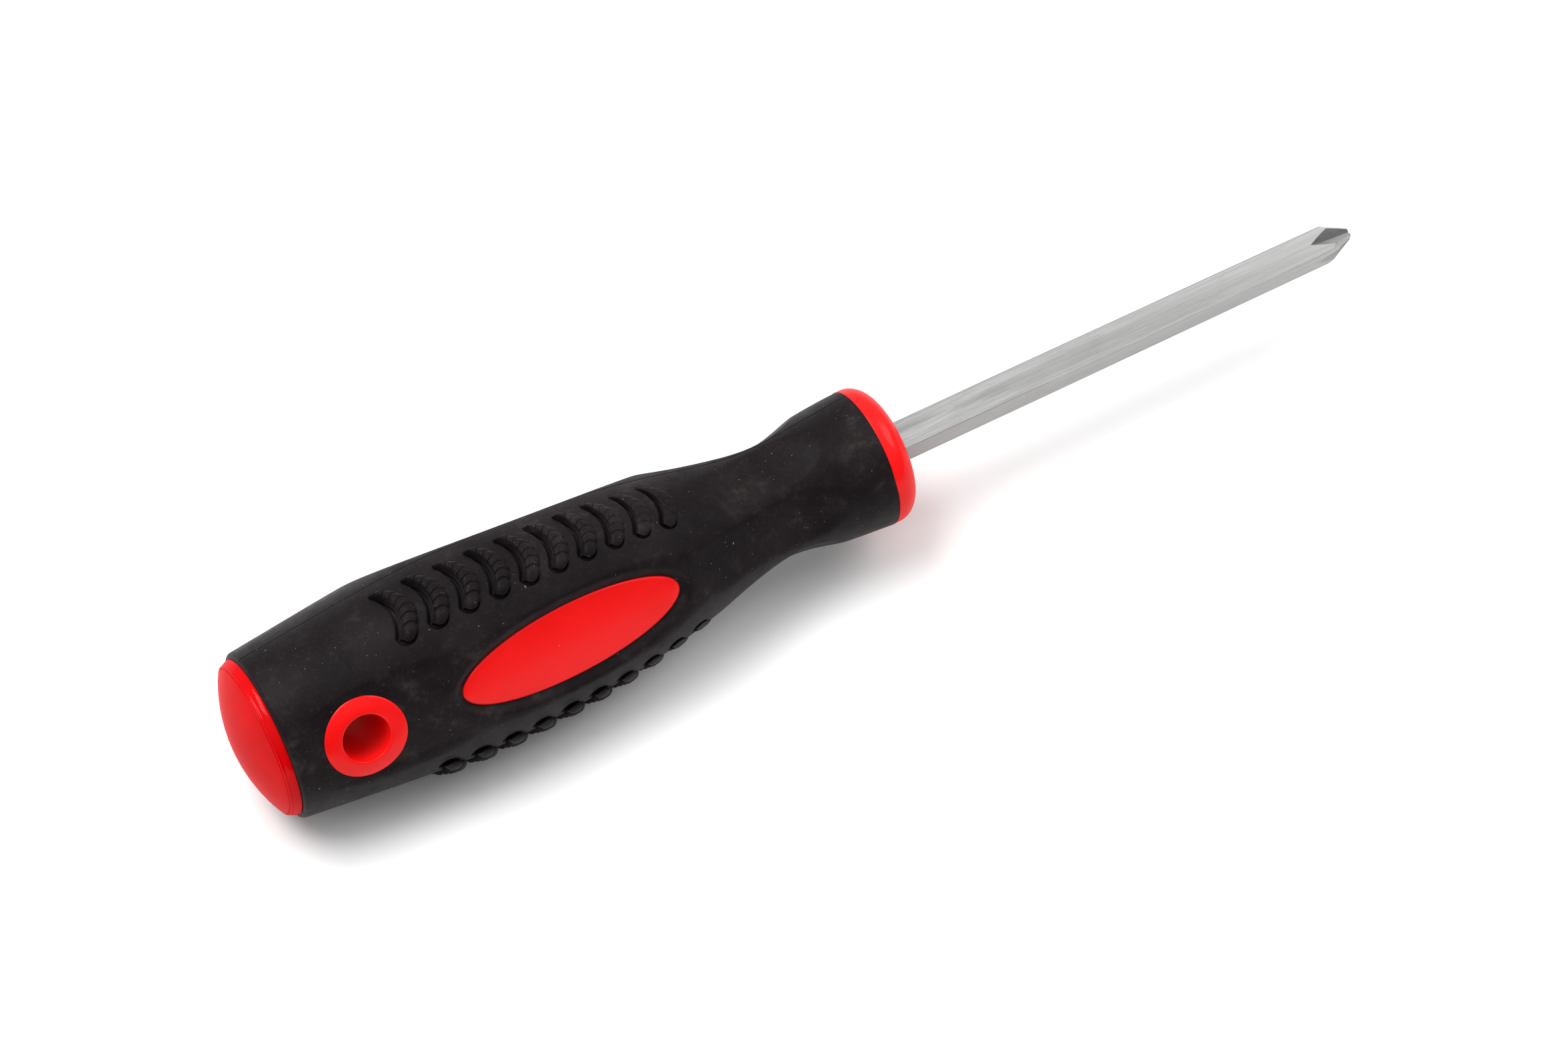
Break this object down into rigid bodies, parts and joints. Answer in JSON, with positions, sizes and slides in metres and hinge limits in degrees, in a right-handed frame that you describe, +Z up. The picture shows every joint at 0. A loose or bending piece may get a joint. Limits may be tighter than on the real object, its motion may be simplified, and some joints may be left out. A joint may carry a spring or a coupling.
{
  "type": "screwdriver",
  "caption": "Cross-point screwdriver: square nickel-plated blade, three-lobed soft grip with crescent ribs, hanging hole, domed end cap and hard front collar.",
  "frame": {"origin": "where the axis of the hanging hole crosses the tool's axis", "axes": "+X along the tool's axis towards the tip; +Z up as the tool lies on two lobes of its grip, with the flat between them facing down; the badge and the front mouth of the hanging hole face the -Y side, 30 degrees above the horizontal"},
  "size_m": [0.2395, 0.041, 0.0404],
  "materials": {
    "blade": "satin nickel plate, drawn along the bar",
    "core": "moulded, hidden inside the grip",
    "accent": "semi-gloss red",
    "cap": "glossy red",
    "grip": "matt charcoal, fine grain"
  },
  "bodies": {
    "root": {"blade": "blade", "handle_core": "core", "front_collar": "accent", "badge": "accent", "hanging_eyelet": "accent", "end_cap": "cap", "grip": "grip"}
  },
  "joints": []
}
